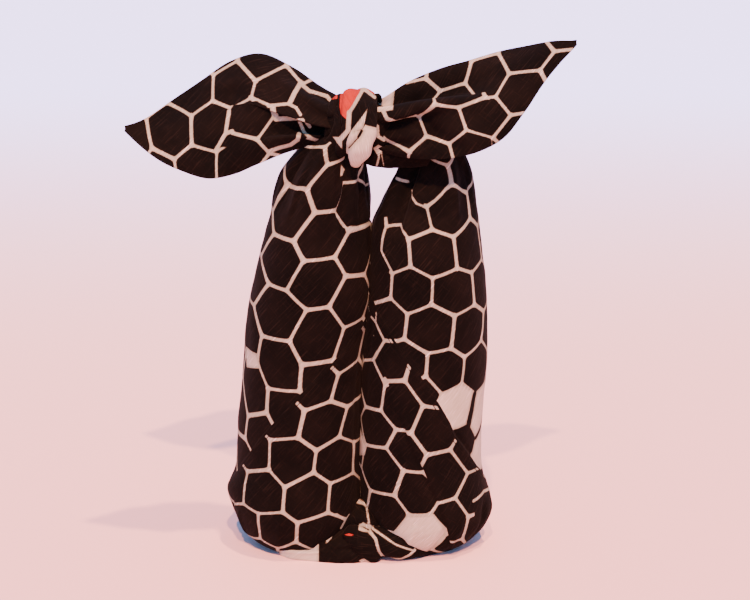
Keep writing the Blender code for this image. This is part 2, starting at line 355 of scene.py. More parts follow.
cotton = {
    "dark": (0.0012, 0.0013, 0.0009, 1),
    "darkWorn": (0.0100, 0.0062, 0.0042, 1),
    "cream": (0.49, 0.43, 0.335, 1),
    "creamShade": (0.235, 0.235, 0.155, 1),
    "creamSlub": (0.68, 0.60, 0.50, 1),
    "rim": (0.19, 0.12, 0.07, 1),  # the dye's brown rim along a line
    "coral": (0.34, 0.026, 0.018, 1),
    "coralShade": (0.21, 0.014, 0.009, 1),
    # how much of a tone's second colour comes from each cause
    "darkWear": {"cloud": 0.30, "slub": 0.95, "softSlub": 0.40, "threads": 0.12},
    "creamWear": {"thinLine": 0.5, "cloud": 0.2, "warp": 0.5},
    "coralWear": {"warp": 0.5, "threads": 0.15},
    "rimStrength": 0.34,
    # masks turn between two values: depths in the print or beyond a hem in mm, or of a noise
    "edge": (-0.16, 0.22),
    "rimOutside": (-0.4, -0.05),
    "rimInside": (0.05, 0.55),
    "thinLine": (0.5, 2.2),
    "overlap": (-0.01, 0.01),
    "hemEdge": (-0.05, 0.35),
    "bareEnd": (1.55, 1.85),  # of the dark cloth along a hem
    "stitchStart": (3.2, 3.5),
    "stitchEnd": (3.7, 4.0),
    "darkCloud": (0.35, 0.7),
    "creamCloud": (0.3, 0.7),
    "slub": (0.56, 0.70),
    "softSlub": (0.56, 0.74),
    "creamYarn": (0.42, 0.66),
    "coralYarn": (0.4, 0.75),
    "bareDepth": 30.0,  # mm by which bare cloth is outside every line
    "stitchDepth": 1.1,  # mm by which a seam narrows the lines across it
    "fray": (0.9, 0.5),  # how fine the edges' run in and out is, and how far in mm
    "cloudScale": 0.03,
    "fibreTurn": 50.0,  # degrees from the pieces' own flat axes to the warp
    # streaks of yarn: turn, length and breadth in mm, and where their noise starts
    "warpSlubs": (0, 16.0, 0.75, 3.0),
    "weftSlubs": (90, 20.0, 0.9, 11.0),
    "warpThreads": (0, 4.0, 0.28, 5.0),
    "weftThreads": (90, 4.0, 0.28, 7.0),
    "relief": {"slub": 0.10, "softSlub": 0.07, "threads": 0.05, "hem": 0.55, "stitches": 0.25},
    "reliefStrength": 0.7,
    "roughness": {"all": 0.93, "slub": 0.08, "threads": 0.03},
    "finish": {
        "Metallic": 0.0,
        "Specular IOR Level": 0.05,
        "Sheen Weight": 0.012,
        "Sheen Roughness": 0.5,
        "Sheen Tint": (1.0, 0.86, 0.76, 1),
    },
}


def printedCotton(name, nets=1, coral=False):
    # Nets are the fields of the drawn lines on the cloth above the hem, below it and past a
    # pleat. Each is a depth in mm, positive inside the lines. Only a sleeve with its three nets
    # has a hem.
    material, shader, wire = newMaterial(name)
    hemmed = nets > 2

    def attribute(field):
        return wire.node("ShaderNodeAttribute", {"attribute_name": field}, None, 2)

    def mask(value, name):
        return value.step(*cotton[name])

    uv = wire.node("ShaderNodeUVMap", {"uv_map": "cloth"})
    scaling = {0: uv, "Scale": 1 / mm}
    flat = wire.node("ShaderNodeVectorMath", {"operation": "SCALE"}, scaling)
    cream = attribute("net0")
    if hemmed:
        layer = attribute("layer")
        upper = mask(layer, "overlap")
        cream = cream + upper * (attribute("net1") - cream)
    if nets > 1:
        past = mask(attribute("pleat"), "overlap")
        cream = cream + past * (attribute(f"net{nets - 1}") - cream)
    if hemmed:
        bare = upper * (1 - mask(layer, "bareEnd"))
        stitch = mask(layer, "stitchStart") * (1 - mask(layer, "stitchEnd"))
        cream = cream - bare * cotton["bareDepth"] - stitch * cotton["stitchDepth"]
    fineness, reach = cotton["fray"]
    fray = (wire.noise(flat, fineness) - 0.5) * reach
    cream = cream + fray
    rimMask = mask(cream, "rimOutside") * (1 - mask(cream, "rimInside"))

    # slubs: long thin streaks of thicker yarn along both ways of the weave
    def streaks(kind):
        turn, long, thin, start = cotton[kind]
        inputs = {
            "Vector": flat,
            "Rotation": (0.0, 0.0, np.radians(cotton["fibreTurn"] + turn)),
            "Scale": (long, thin, 1.0),
            "Location": (start, start, 0.0),
        }
        return wire.noise(wire.node("ShaderNodeMapping", {"vector_type": "TEXTURE"}, inputs), 1.0)

    warpSlubs = streaks("warpSlubs")
    threads = streaks("warpThreads") + streaks("weftThreads")
    slub = mask(warpSlubs, "slub")
    softSlub = mask(streaks("weftSlubs"), "softSlub")
    cloud = wire.noise(flat, cotton["cloudScale"])

    wear = cotton["darkWear"]
    worn = mask(cloud, "darkCloud") * wear["cloud"] + slub * wear["slub"]
    worn = worn + softSlub * wear["softSlub"] + threads * wear["threads"]
    colour = worn.mixColours(cotton["dark"], cotton["darkWorn"])
    colour = (rimMask * cotton["rimStrength"]).mixColours(colour, cotton["rim"])
    if coral:
        wear = cotton["coralWear"]
        worn = mask(warpSlubs, "coralYarn") * wear["warp"] + threads * wear["threads"]
        coralTone = worn.mixColours(cotton["coral"], cotton["coralShade"])
        colour = mask(attribute("coral") + fray, "edge").mixColours(colour, coralTone)
    wear = cotton["creamWear"]
    worn = (1 - mask(cream, "thinLine")) * wear["thinLine"]
    worn = worn + (1 - mask(cloud, "creamCloud")) * wear["cloud"]
    worn = worn + mask(warpSlubs, "creamYarn") * wear["warp"]
    creamTone = worn.mixColours(cotton["cream"], cotton["creamShade"])
    creamTone = slub.mixColours(creamTone, cotton["creamSlub"])
    colour = mask(cream, "edge").mixColours(colour, creamTone)
    colour.feed(shader, "Base Color")

    rough = cotton["roughness"]
    roughness = rough["all"] - slub * rough["slub"] - threads * rough["threads"]
    roughness.feed(shader, "Roughness")
    relief = cotton["relief"]
    height = slub * relief["slub"] + softSlub * relief["softSlub"] + threads * relief["threads"]
    if hemmed:
        hem = mask(layer, "hemEdge") * relief["hem"] - stitch * relief["stitches"]
        height = height + hem
    bumps = {"Height": height, "Distance": mm, "Strength": cotton["reliefStrength"]}
    wire.node("ShaderNodeBump", None, bumps).feed(shader, "Normal")
    finish(shader, cotton["finish"])
    return material


sleeveColumns = ("height", "centreX", "centreY", "halfWidth", "halfDepth")

leftSleeve = {
    "outline": (
        (-4, -40, 0, 22, 22), (1, -40.5, 0, 28.5, 28.5), (7, -41.5, 0, 35, 34.5),
        (18, -42.5, 0, 41, 39.5), (36, -43, 0, 44.5, 42), (58, -41.5, 0, 41.8, 41.5),
        (86, -40.4, 0, 41.7, 41.2), (109, -38.6, 0, 40.4, 40.6), (131, -37.2, 0, 39.8, 40),
        (175, -32, 0, 39.4, 39), (207, -27.5, 0, 35.8, 36), (234, -24.5, -1, 31.5, 31),
        (256, -22, -3, 27, 26), (272, -17, -5, 21, 20), (284, -10, -7, 13, 13),
    ),
    # height and angle where a fold starts and ends (270 is the front), its spread in degrees
    # and its rise in mm
    "folds": (
        (190, 290, 285, 302, 11, -3.5), (200, 290, 252, 262, 12, 1.8), (215, 290, 215, 225, 12, -3),
        (200, 290, 150, 160, 13, -3), (205, 290, 92, 80, 14, -3.5), (195, 290, 30, 38, 13, -3),
        (20, 56, 150, 215, 20, 2.2),
    ),
    # short creases: height and angle at both ends, width and rise in mm
    "creases": (
        (226, 232, 270, 243, 2.2, 0.9), (222, 235, 262, 250, 2, -0.9),
        (205, 291, 268, 300, 2.2, 1.2), (214, 296, 270, 307, 1.8, -1.5),
        (224, 309, 275, 318, 2.2, 1.3), (220, 322, 272, 330, 2, -1.6),
        (236, 262, 276, 274, 1.8, -1.2), (242, 250, 276, 262, 1.6, 0.9),
        (230, 345, 272, 350, 2.4, -1.6), (228, 205, 272, 222, 2.4, -1.4),
        (226, 178, 270, 190, 2.6, 1.4), (222, 128, 272, 140, 2.4, -1.8),
        (224, 108, 272, 116, 2.4, 1.4), (222, 60, 270, 66, 2.4, -1.8), (226, 10, 270, 18, 2.4, 1.4),
        (6, 250, 40, 262, 2.6, 0.9), (4, 262, 28, 276, 2.2, -1.2), (3, 282, 30, 296, 2.4, 1.3),
        (5, 226, 30, 240, 2.6, -0.9), (4, 200, 34, 214, 2.4, 1.2), (10, 186, 40, 204, 2, -1),
        (3, 150, 30, 138, 2.6, -1.3), (3, 110, 34, 98, 2.6, 1.4), (3, 70, 32, 84, 2.6, -1.4),
        (3, 30, 30, 18, 2.6, 1.3), (60, 330, 150, 337, 2.6, -0.7), (120, 205, 170, 198, 6, -0.5),
        (70, 255, 120, 240, 7, 0.35),
    ),
    # the outer layer's hem, as distance round from the front and height
    "hem": (
        (66, 176), (45, 158.5), (33, 150), (20, 137), (0, 117.5), (-17.5, 95.5), (-37, 70.5),
        (-51, 55.4), (-72, 34), (-96, 16),
    ),
    # where the cloth under the knot tucks behind the sleeve's own front
    "pleatLine": (
        (11, 290), (13, 262), (15, 253), (14, 246), (11, 236), (15, 225), (46, 223), (90, 223),
    ),
    # 1 where the cloth on the line's left lies on top, -1 for its right
    "pleatSide": -1,
    # the height where the pleat starts, and the mm up or down over which it grows
    "pleatFrom": (214, 14),
    "nets": (
        {
            "middle": (-4, 180.3), "width": 32.43, "seed": 68590, "turn": 23.98,
            "shift": (0.883, 1.367),
            "bends": (
                (-0.015, 0.034), (-0.008, -0.004), (-0.01, -0.022), (-0.015, 0.019),
                (-0.058, 0.009),
            ),
        },
        {
            "middle": (12.4, 67.7), "width": 30.64, "seed": 108642, "turn": 10.14,
            "shift": (0.54, 1.587),
            "bends": (
                (-0.049, -0.036), (0.005, 0.032), (-0.047, 0.051), (0, 0.021), (-0.023, 0.002),
            ),
        },
        {
            "middle": (23.5, 237.7), "width": 26.36, "seed": 150703, "turn": 13.1,
            "shift": (0, 1.617), "bends": ((0.006, -0.01), (-0.009, -0.007)),
        },
    ),
    "marks": (
        ("cream", 0, (-52, 141), (-34, 141), (-29, 132), (-46, 128.5)),
        ("cream", 0, (11, 265), (15, 261.4), (14, 258.6), (12, 258)),
        ("cream", 1.9, (29.1, 31.8), (37, 25.2), (40.8, 27.7)),
        ("cream", 1.8, (37, 25.2), (32.8, 19.9)),
        ("ink", 0, (21.6, 225.4), (33.3, 233.5), (51, 229.7), (54.7, 222.3)),
        ("ink", 0, (33.8, 231.1), (32.6, 245.1), (53.2, 241.3), (50.7, 227.9)),
        ("cream", 2.4, (20.1, 223.4), (46.4, 223.2)),
    ),
    "seed": 11,
}

rightSleeve = {
    "outline": (
        (-4, 42, 0, 22, 22), (1, 42.5, 0, 29, 28.5), (7, 43.5, 0, 36, 34.5), (18, 44, 0, 42, 39.5),
        (30, 44, 0, 43.5, 41.5), (52, 41.5, 0, 41.8, 41.5), (100, 41.5, 0, 41.4, 41),
        (131, 43, 0, 41.8, 40.5), (175, 44.5, 0, 39.4, 39), (207, 43, 0, 36.4, 36),
        (223, 43, 0, 34.4, 32), (236, 45.5, 1, 30, 27), (247, 47.5, 2, 26.5, 22),
        (259, 49.5, 2, 22, 17), (270, 48, 1, 18, 12), (280, 44, 0, 12, 8),
    ),
    "folds": (
        (196, 280, 236, 228, 9, -5), (200, 280, 214, 200, 12, 4), (205, 280, 282, 270, 12, -2),
        (215, 280, 325, 315, 13, -2.5), (205, 280, 92, 100, 13, -3.5), (200, 280, 145, 138, 13, -3),
        (205, 280, 40, 44, 13, -3), (12, 40, 322, 356, 14, 2.4),
    ),
    "creases": (
        (206, 247, 268, 240, 2, 1.2), (198, 229, 262, 222, 1.8, -1.4),
        (222, 262, 268, 254, 2, -1.1), (226, 276, 268, 266, 2, 1.1),
        (220, 292, 268, 284, 2.2, -1.4), (224, 306, 266, 298, 2.2, 1.2),
        (226, 338, 266, 330, 2.2, -1.4), (222, 190, 266, 186, 2.2, -1.4),
        (224, 168, 266, 164, 2.4, 1.4), (222, 128, 268, 124, 2.4, -1.6),
        (222, 75, 268, 72, 2.4, 1.4), (222, 60, 268, 58, 2, -1.4), (222, 12, 266, 16, 2.4, 1.4),
        (4, 292, 30, 304, 2.4, 1.2), (3, 276, 26, 288, 2.2, -1.2), (4, 250, 30, 262, 2.4, 1.1),
        (4, 322, 40, 334, 2.6, -1.4), (6, 340, 36, 350, 2.4, 1.3), (4, 214, 30, 226, 2.6, -1.2),
        (3, 170, 32, 184, 2.6, 1.3), (3, 120, 34, 132, 2.6, -1.4), (3, 84, 32, 70, 2.6, 1.3),
        (3, 40, 34, 26, 2.6, -1.4), (95, 206, 180, 210, 3, -0.6), (120, 330, 165, 340, 7, -0.4),
    ),
    "hem": (
        (84, 24), (58, 50), (44.5, 61), (22, 88), (17.7, 97.2), (10, 110), (-5.3, 132.4),
        (-21.7, 151.5), (-29, 160.7), (-44, 176), (-64, 192),
    ),
    # a fold that crosses the outer cloth from the middle to the foot
    "pleatLine": (
        (-24, 120), (-17.2, 107), (-11.3, 92.6), (-5.3, 80), (1, 66), (9, 44), (10, 39.4),
        (14, 21.4), (19, 0),
    ),
    "pleatSide": 1,
    "pleatFrom": (112, -26),
    "nets": (
        {
            "middle": (9.1, 175.6), "width": 29.08, "seed": 196607, "turn": 2.92,
            "shift": (-0.306, -0.279),
            "bends": (
                (0.008, 0.023), (0.008, 0.007), (0.014, -0.026), (0.017, -0.076), (0.05, -0.003),
            ),
            "paleCells": ((0, -3), (1, -3), (2, -4)),
            "darkSides": (((0, -3), 1, 0.075), ((1, -3), 2, 0.06)),
        },
        {
            "middle": (-22.9, 67.6), "width": 29.57, "seed": 49046, "turn": 23.39,
            "shift": (-0.329, 1.167),
            "bends": ((-0.046, -0.009), (-0.003, 0.011), (0.005, 0.001), (0.013, 0), (0.042, 0.01)),
        },
        {
            "middle": (18.2, 72.5), "width": 32.59, "seed": 150146, "turn": 26.09,
            "shift": (0.986, 0.446),
            "bends": (
                (0.02, 0.031), (0.025, 0.005), (-0.006, 0.012), (-0.001, -0.002), (0.025, -0.012),
            ),
        },
    ),
    "marks": (
        ("ink", 0, (-42, 285), (-15, 274), (-10, 262), (-9, 243), (-16, 230), (-42, 227)),
        ("cream", 2, (-29.5, 256.2), (-22.5, 255.4)),
        ("cream", 0, (-25, 15.5), (-12.8, 33.4), (5.4, 34.8), (14.1, 20.5), (-4.4, -6), (-15, 1)),
        ("cream", 0, (-62, 90), (-55, 84), (-43, 74), (-45, 68), (-60, 62)),
        ("ink", 0, (36.2, 47), (61, 47), (61, 14), (34.5, 17)),
        ("cream", 1.9, (35.6, 38.6), (50, 40.5), (66, 36)),
        ("ink", 0, (-11.1, 246), (-7.3, 245.6), (-4.8, 242.3), (-4.8, 239.3), (-9.2, 239.4)),
        ("cream", 1.3, (-3.8, 238.7), (-9.9, 241.3), (-13.2, 245.3), (-17.7, 250.2)),
        ("ink", 2.9, (38.2, 110.2), (37.4, 101.3), (35.2, 91.6)),
        ("ink", 0, (-55.2, 219.1), (-23.6, 230.7), (-15.9, 221.4), (-22.9, 218.1), (-54.1, 209.9)),
        ("ink", 0, (-51.7, 212.1), (-34.3, 215.7), (-34.7, 199.6), (-48.2, 196.2)),
        ("ink", 0, (-39, 201.4), (-34.2, 203.6), (-24.8, 198.5), (-26.5, 194.4), (-38.7, 196.9)),
        ("ink", 0, (-20.7, 222.4), (-15.7, 222.6), (-12.7, 218.4), (-14.2, 216.7), (-19.6, 218.3)),
        ("cream", 1.5, (-24, 196.1), (-32.4, 207.7), (-29.9, 223.8)),
        ("cream", 1.9, (-31.7, 229), (-29.9, 223.8), (-20.7, 226.5)),
        ("cream", 1.6, (-20.7, 226.5), (-14.7, 222), (-11.1, 217.4)),
        ("ink", 0, (-52.5, 164.5), (-38.3, 168), (-25, 158.7), (-25, 154.2), (-49.3, 150.1)),
        ("cream", 2.4, (-19.6, 151.6), (-29.9, 150.3)),
        ("cream", 1.7, (-29.9, 150.3), (-38.4, 160.4), (-44.3, 162.6)),
        ("cream", 1.3, (-38.6, 161.4), (-38.1, 167.1)),
        ("cream", 1.9, (-37.5, 136.8), (-29.9, 150.1)),
        ("cream", 2.6, (-27.8, 125.1), (-26.1, 121.3)),
    ),
    "seed": 23,
}

sleeveCloth = {
    "rings": 300,
    "crowding": 0.10,  # how much closer the rings stand at the foot and at the top
    "floorRings": 16,
    "round": 250,
    "level": 120,  # mm above the floor, where the cloth's own height is the same
    "gathered": 200,  # a fold that reaches above this height in mm is held by the knot
    "foldGrowth": 2.2,
    "creaseGrowth": 3,
    "hemStep": 0.45,
    "hemSoftness": 1.2,
    "swell": (0.9, 2.0, 7),  # mm that a pleat's upper side rises, its softness and its fall
    "dip": (0.8, 1.0, 1.6),  # mm that the cloth beside it sinks, how far off, and its width
    "smoothBelow": 6,  # mm above the floor
    "hole": 0.03,  # share of the lowest ring's size where the floor's cap starts
    "underside": 28.0,  # mm of flat cloth under the foot
    # mm of the cloth's own unevenness, its size, and the height by which it is whole
    "waves": ((0.45, 46, 20), (0.14, 15, 12)),
}


def degreesBetween(degrees, middle):
    # the short way round, from -180 to 180
    return (degrees - middle + 180) % 360 - 180


def sleeveSurface(values):
    # Ellipses stacked up the sleeve on a flat round foot. Folds and creases push the cloth in or
    # out along its radius: each is a bell curve across its own line, grown and faded along it.
    table = columns(values["outline"], sleeveColumns)
    share = np.linspace(0, 1, sleeveCloth["rings"])
    crowding = sleeveCloth["crowding"] * np.sin(2 * np.pi * share) / (2 * np.pi) * 2
    height = table["height"][-1] * (share - crowding)
    angle = np.linspace(0, 2 * np.pi, sleeveCloth["round"], endpoint=False) + np.pi / 2
    centreX, centreY, halfWidth, halfDepth = (
        smoothCurve(table["height"], table[name], height)[:, None] for name in sleeveColumns[1:]
    )
    degrees = np.degrees(angle)[None, :]
    tall = height[:, None]
    rise = np.zeros((len(height), len(angle)))
    for low, high, lowAngle, highAngle, spread, push in values["folds"]:
        along = (tall - low) / (high - low)
        middle = lowAngle + (highAngle - lowAngle) * np.clip(along, 0, 1)
        # a fold under the knot grows towards it, and any other fades at both ends
        if high > sleeveCloth["gathered"]:
            grown = fade(along * sleeveCloth["foldGrowth"])
        else:
            grown = np.clip(4 * along * (1 - along), 0, 1)
        rise += push * grown * bell(degreesBetween(degrees, middle) / spread)
    base = np.stack(
        [
            centreX + (halfWidth + rise) * np.cos(angle),
            centreY + (halfDepth + rise) * np.sin(angle),
            tall + 0 * angle,
        ],
        axis=-1,
    )
    # the flat cloth's coordinates: round from the front, and up along the surface
    looped = np.concatenate([base, base[:, :1]], axis=1)
    around = arcLengths(looped, 1)
    front = np.argmin(np.abs(degreesBetween(np.degrees(angle), 270)))
    around -= around[:, front : front + 1]
    upward = arcLengths(looped, 0)
    upward += sleeveCloth["level"] - upward[np.argmin(np.abs(height - sleeveCloth["level"]))]
    # creases, the step at the hem and the cloth's own unevenness
    fine = np.zeros_like(rise)
    for startHeight, startAngle, endHeight, endAngle, width, push in values["creases"]:
        along = (tall - startHeight) / (endHeight - startHeight)
        middle = startAngle + (endAngle - startAngle) * along
        away = degreesBetween(degrees, middle) * np.pi / 180 * (halfWidth + halfDepth) / 2
        growth = sleeveCloth["creaseGrowth"]
        grown = fade(along * growth) * fade((1 - along) * growth)
        fine += push * grown * bell(away / width)
    hem = besideLine(around, upward, values["hem"])
    side = values["pleatSide"]
    pleat = np.minimum(besideLine(around, upward, values["pleatLine"]), side * hem)
    hemHere, pleatHere = hem[:, :-1], pleat[:, :-1]
    fine += sleeveCloth["hemStep"] * fade(hemHere / sleeveCloth["hemSoftness"] + 0.5)
    # the pleat's upper side swells and falls away, and the cloth beside it dips under
    start, length = values["pleatFrom"]
    over = side * pleatHere
    rises, softness, fall = sleeveCloth["swell"]
    swell = rises * fade(over / softness + 0.5) * np.exp(-np.maximum(over, 0) / fall)
    sinks, offset, width = sleeveCloth["dip"]
    dip = sinks * bell((over + offset) / width)
    fine += fade((tall - start) / length) * (swell - dip)
    for number, (amount, size, whole) in enumerate(sleeveCloth["waves"]):
        fine += amount * unevenness(base, size, values["seed"] + number) * fade(tall / whole)
    fine *= fade(tall / sleeveCloth["smoothBelow"])
    outward = np.stack([np.cos(angle), np.sin(angle), 0 * angle], axis=-1)[None]
    points = base + fine[..., None] * outward
    # the foot: the lowest ring drawn in flat across the floor
    extra = sleeveCloth["floorRings"]
    inward = np.linspace(sleeveCloth["hole"], 1, extra, endpoint=False)[:, None, None]
    heart = points[0].mean(axis=0)
    points = np.concatenate([heart + (points[:1] - heart) * inward, points])
    around = np.concatenate([around[:1] * inward[..., 0], around])
    under = (1 - inward[..., 0]) * sleeveCloth["underside"]
    upward = np.concatenate([upward[:1] - under, upward])
    cloth = np.stack([around, upward], axis=-1)
    fields = netFields(values, cloth[:, :-1])
    for field, here in (("layer", hemHere), ("pleat", pleatHere)):
        fields[field] = np.concatenate([np.repeat(here[:1], extra, axis=0), here])
    return points, cloth, fields


def makeSleeve(name, values):
    piece = clothMesh(name, *sleeveSurface(values), tube=True)
    finishPiece(piece, printedCotton(name + "Cotton", len(values["nets"])))


makeSleeve("leftSleeve", leftSleeve)
makeSleeve("rightSleeve", rightSleeve)
print("sleeves wound")


# a leaf's lower and upper edge, its depth, how hollow it is and how far its top leans forward
earColumns = ("lowerX", "lowerZ", "upperX", "upperZ", "depthY", "cup", "lean")

leftEar = {
    "outline": (
        (-8, 278.3, -6, 299.7, -13, 10, 4), (-26.7, 274.1, -24.3, 309.2, -16, 13, 14),
        (-45.2, 270.2, -42.8, 321.1, -17, 13, 27), (-62.4, 264.3, -63.5, 328.7, -17, 12, 39),
        (-77.9, 257.8, -82.1, 323.9, -16, 10, 43), (-94.8, 255.4, -100.2, 312.4, -15, 8, 38),
        (-113.2, 260.4, -117.9, 300.8, -14, 5, 27), (-130.9, 269.6, -134.1, 290.5, -13, 2, 14),
        (-147.1, 283.6, -147.3, 285.9, -12, 0, 1.5),
    ),
    # place across the ear at the knot and at the pleat's end, reach along the ear, spread,
    # depth in mm, and how far it overlaps
    "pleats": (
        (0.3, 0.66, 0.64, 0.15, -12, 0.13), (0.72, 0.86, 0.36, 0.1, 5, 0.03),
        (0.1, 0.26, 0.5, 0.1, 7, 0.06),
    ),
    # the same two places, reach, width and rise of the small gathers
    "gathers": (
        (0.15, 0.3, 0.34, 0.05, 1.4), (0.52, 0.76, 0.36, 0.04, -1.6), (0.88, 0.93, 0.3, 0.04, 1.2),
        (0.6, 0.9, 0.4, 0.03, 1.2),
    ),
    # soft valleys and ridges: both ends (x, z), width and depth in mm
    "dents": (
        (-79, 303, -88, 272, 7, 3), (-98, 300, -104, 268, 9, -1.6), (-60, 318, -96, 308, 6, -1.5),
        (-112, 296, -136, 286, 5, 1.2),
    ),
    # how far along the ear the lobe with the second net reaches
    "lowerReach": 0.5,
    "nets": (
        {
            "middle": (-86.3, 296.7), "width": 27.42, "seed": 144188, "turn": -0.3,
            "shift": (0.712, -0.511),
            "bends": (
                (0.024, -0.011), (-0.045, -0.008), (0.002, 0.052), (-0.046, 0.04), (-0.043, 0.025),
            ),
        },
        {
            "middle": (-68, 277.4), "width": 26.99, "seed": 6085, "turn": -23.32,
            "shift": (-0.188, 1.119), "bends": ((0.014, -0.032), (-0.046, -0.009)),
        },
    ),
    "marks": (
        ("ink", 0, (-68, 303), (-56, 299.4), (-56, 296.5), (-67, 300.5)),
        ("ink", 0, (-56, 301), (-43, 302), (-36, 296), (-31, 291), (-36, 288.5), (-52, 288.5)),
        ("ink", 0, (-43, 303), (-37, 311.5), (-19.5, 304.5), (-9, 290.5), (-15, 280), (-32, 288)),
        ("ink", 0, (-88, 281), (-80, 280.6), (-78.4, 273), (-90, 272.4)),
        ("cream", 2.3, (-81.3, 295.3), (-83.7, 281.2), (-90.4, 270.6)),
        ("cream", 2.3, (-83.7, 281.2), (-79.2, 283)),
        ("cream", 2.3, (-67.2, 304.9), (-61.7, 302.4), (-55.5, 300)),
        ("cream", 3.4, (-53.2, 299.4), (-52, 290.6)),
        ("cream", 2.8, (-52, 290.4), (-34.9, 290.8)),
        ("cream", 2.2, (-34.9, 290.8), (-31.1, 285)),
        ("cream", 1.7, (-55.5, 300.1), (-43.9, 301), (-38.9, 298.6), (-36.1, 294.3)),
        ("cream", 2.8, (-36.5, 313), (-39.7, 307.5), (-42.8, 301.3)),
        ("cream", 2, (-36.5, 312), (-30.9, 307.5), (-19.9, 304), (-11.2, 292.7)),
        ("cream", 0.8, (-10.9, 289.8), (-17.5, 282.3)),
        ("ink", 0, (-37, 282.1), (-32.5, 279.3), (-37.8, 270.9), (-42.5, 269.8)),
        ("cream", 2.6, (-57.2, 269.8), (-50.4, 272.3), (-43.4, 274), (-38.5, 277.7),
         (-37.7, 280.4)),
    ),
    # the size and area in m of the flat cloth that is gathered into the ear
    "flat": (0.175, 0.095),
    "area": 0.0092,
    "seed": 31,
}

rightEar = {
    "outline": (
        (4, 274.3, 2, 299.7, -16, 7, 4), (19.9, 269.1, 16, 305.1, -21, 8, 14),
        (37.6, 267.7, 32.3, 313.5, -23, 8, 26), (57.1, 269.1, 52.8, 321.2, -23, 8, 34),
        (75.5, 272.9, 71.2, 325.5, -20, 8, 36), (90.5, 280.6, 89.4, 330.4, -16, 7, 34),
        (102.7, 295.3, 105.3, 334.1, -13, 5, 26), (117.7, 316.8, 120.8, 338.1, -12, 2, 14),
        (135.4, 337.1, 135.6, 339.4, -11, 0, 1.5),
    ),
    "pleats": (
        (0.92, 0.58, 0.66, 0.14, 12, 0.12), (0.62, 0.5, 0.46, 0.08, -8, 0.06),
        (0.1, 0.16, 0.34, 0.12, 5, 0.03),
    ),
    "gathers": (
        (0.3, 0.34, 0.32, 0.04, 1.4), (0.78, 0.62, 0.36, 0.04, -1.4), (0.88, 0.9, 0.32, 0.04, 1.2),
        (0.2, 0.26, 0.26, 0.04, -1.2),
    ),
    "dents": (
        (37, 297, 47, 284, 4.5, 3), (47, 284, 60, 276, 4.5, 2.5), (52, 298, 66, 284, 7, -2.2),
        (66, 312, 88, 318, 6, 1.6), (92, 320, 118, 332, 6, -1.2),
    ),
    "lowerReach": 0.56,
    "nets": (
        {
            "middle": (81.8, 312.9), "width": 26.7, "seed": 171871, "turn": -37.21,
            "shift": (-0.01, -0.183),
            "bends": (
                (-0.002, -0.076), (-0.125, 0.026), (-0.028, 0.055), (-0.024, -0.006),
                (0.021, -0.003),
            ),
        },
        {
            "middle": (57.8, 289), "width": 26.51, "seed": 164247, "turn": -8.55,
            "shift": (0.685, 0.833),
            "bends": (
                (-0.045, -0.001), (0.056, 0.082), (-0.016, -0.025), (-0.017, 0.002),
                (-0.006, 0.006),
            ),
        },
    ),
    "marks": (
        ("ink", 0, (8, 298), (37, 303), (40, 301.6), (37, 296.4), (20, 287), (8, 287)),
        ("ink", 0, (21, 302.6), (30, 302), (30, 297.5), (21, 297)),
        ("ink", 0, (22.9, 309.4), (27.4, 312.6), (30, 313), (25.4, 302), (21.4, 298)),
        ("cream", 0, (6, 297), (6, 304), (22.9, 314), (21.4, 298.2), (12.7, 296.6)),
        ("cream", 2.3, (15.4, 297.4), (17.8, 293), (22.2, 291.6)),
        ("cream", 1.2, (22.2, 291.6), (29.8, 293.4), (37.2, 293.6)),
        ("cream", 2, (13.8, 286.6), (14.2, 280.4), (18.2, 278)),
    ),
    "flat": (0.165, 0.09),
    "area": 0.0082,
    "seed": 37,
}

earCloth = {
    "stations": 230,
    "lines": 170,
    "thickness": 0.8,
    "pleatBend": 0.6,  # power below 1 for a pleat that bends early
    "pleatFade": 0.6,  # of a pleat's reach, over which it fades out
    "swingPeak": 0.43,  # the most that x * exp(-x * x) comes to
    "flutter": (1.4, 0.12, 3),  # mm at the free edges, its breadth and its growth
    "lobeLength": 150,  # mm for the whole ear
    "waves": ((0.5, 38), (0.12, 12)),  # mm of the cloth's own unevenness, and its size
    # how a lean forward changes the drawn net: narrower and higher, per mm
    "leanNarrows": 0.0011,
    "leanLifts": 0.139,
}


